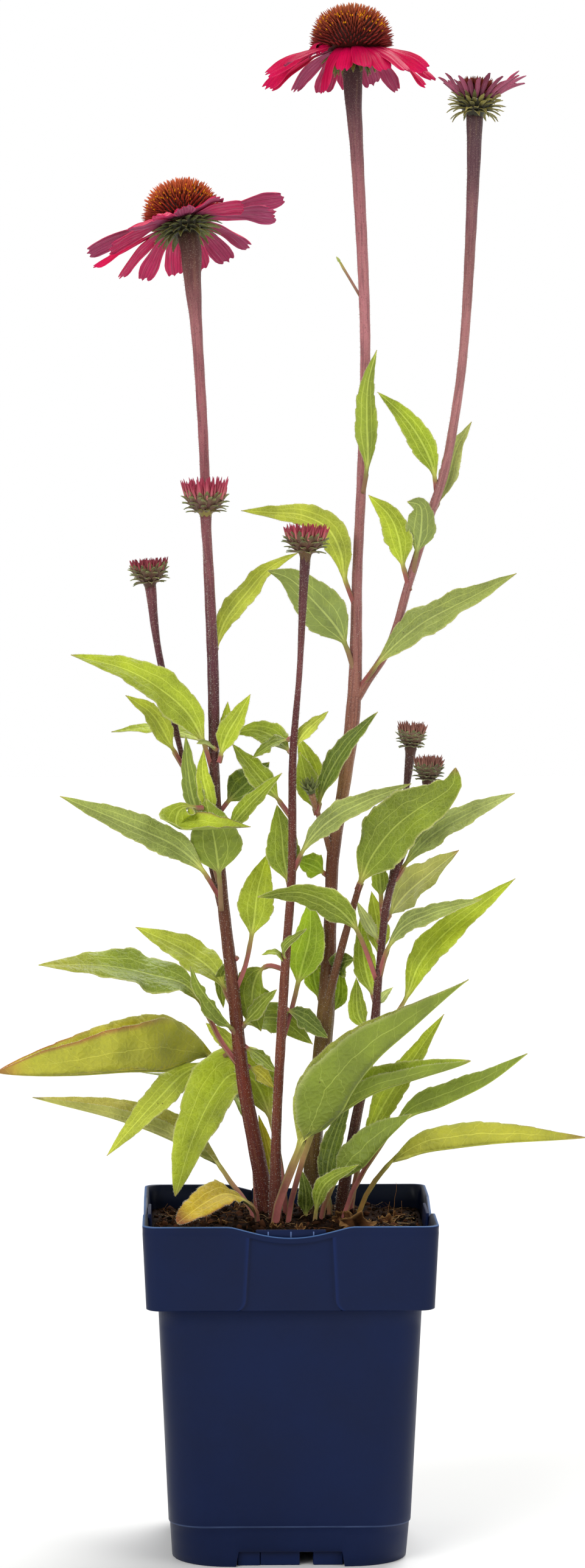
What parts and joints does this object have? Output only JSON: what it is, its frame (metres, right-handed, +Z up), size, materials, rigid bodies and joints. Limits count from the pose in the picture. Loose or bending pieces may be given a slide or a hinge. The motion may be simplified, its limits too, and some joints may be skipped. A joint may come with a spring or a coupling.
{
  "type": "potted purple coneflower plant",
  "caption": "Purple coneflower plant with crimson daisy blooms, spiky orange cones, buds and toothed leaves on upright stems, in a square nursery pot filled with soil.",
  "frame": {"origin": "middle of the square pot's foot, on the surface that it stands on", "axes": "+Z up along the stems, -Y towards the front, +X to the right as seen from the front"},
  "size_m": [0.2653, 0.133, 0.6954],
  "materials": {
    "pot": "satin",
    "soil": "matte",
    "leaf": "satin",
    "yellow_leaf": "satin",
    "petal": "satin",
    "cone": "matte",
    "disc": "matte",
    "floret": "matte",
    "pale_floret": "matte",
    "bract": "matte"
  },
  "bodies": {
    "root": {"pot": "pot", "soil": "soil", "stem_left": "leaf", "stem_tall": "leaf", "stem_middle": "leaf", "stem_right": "leaf", "bloom_half_open_bracts": "bract", "bloom_half_open_disc": "disc", "bloom_half_open_rays": "floret", "bloom_left_bracts": "bract", "bloom_left_cone": "cone", "bloom_left_petals": "petal", "bloom_tall_bracts": "bract", "bloom_tall_cone": "cone", "bloom_tall_petals": "petal", "bud_far_left_bracts": "bract", "bud_far_left_florets": "floret", "bud_middle_bracts": "bract", "bud_middle_florets": "floret", "bud_right_lower_bracts": "bract", "bud_right_lower_florets": "pale_floret", "bud_right_upper_bracts": "bract", "bud_right_upper_florets": "pale_floret", "bud_tiny": "bract", "bud_upper_left_bracts": "bract", "bud_upper_left_florets": "floret", "leaf_base_right": "leaf", "leaf_base_upright": "leaf", "leaf_base_yellow": "yellow_leaf", "leaf_broad_front": "leaf", "leaf_centre_dark": "leaf", "leaf_dying": "yellow_leaf", "leaf_left_back": "leaf", "leaf_left_broad": "leaf", "leaf_left_drooping": "leaf", "leaf_left_low": "leaf", "leaf_long_front": "leaf", "leaf_right_back": "leaf", "leaf_right_level": "yellow_leaf", "leaf_right_rising": "leaf", "leaf_right_small": "leaf"}
  },
  "joints": []
}
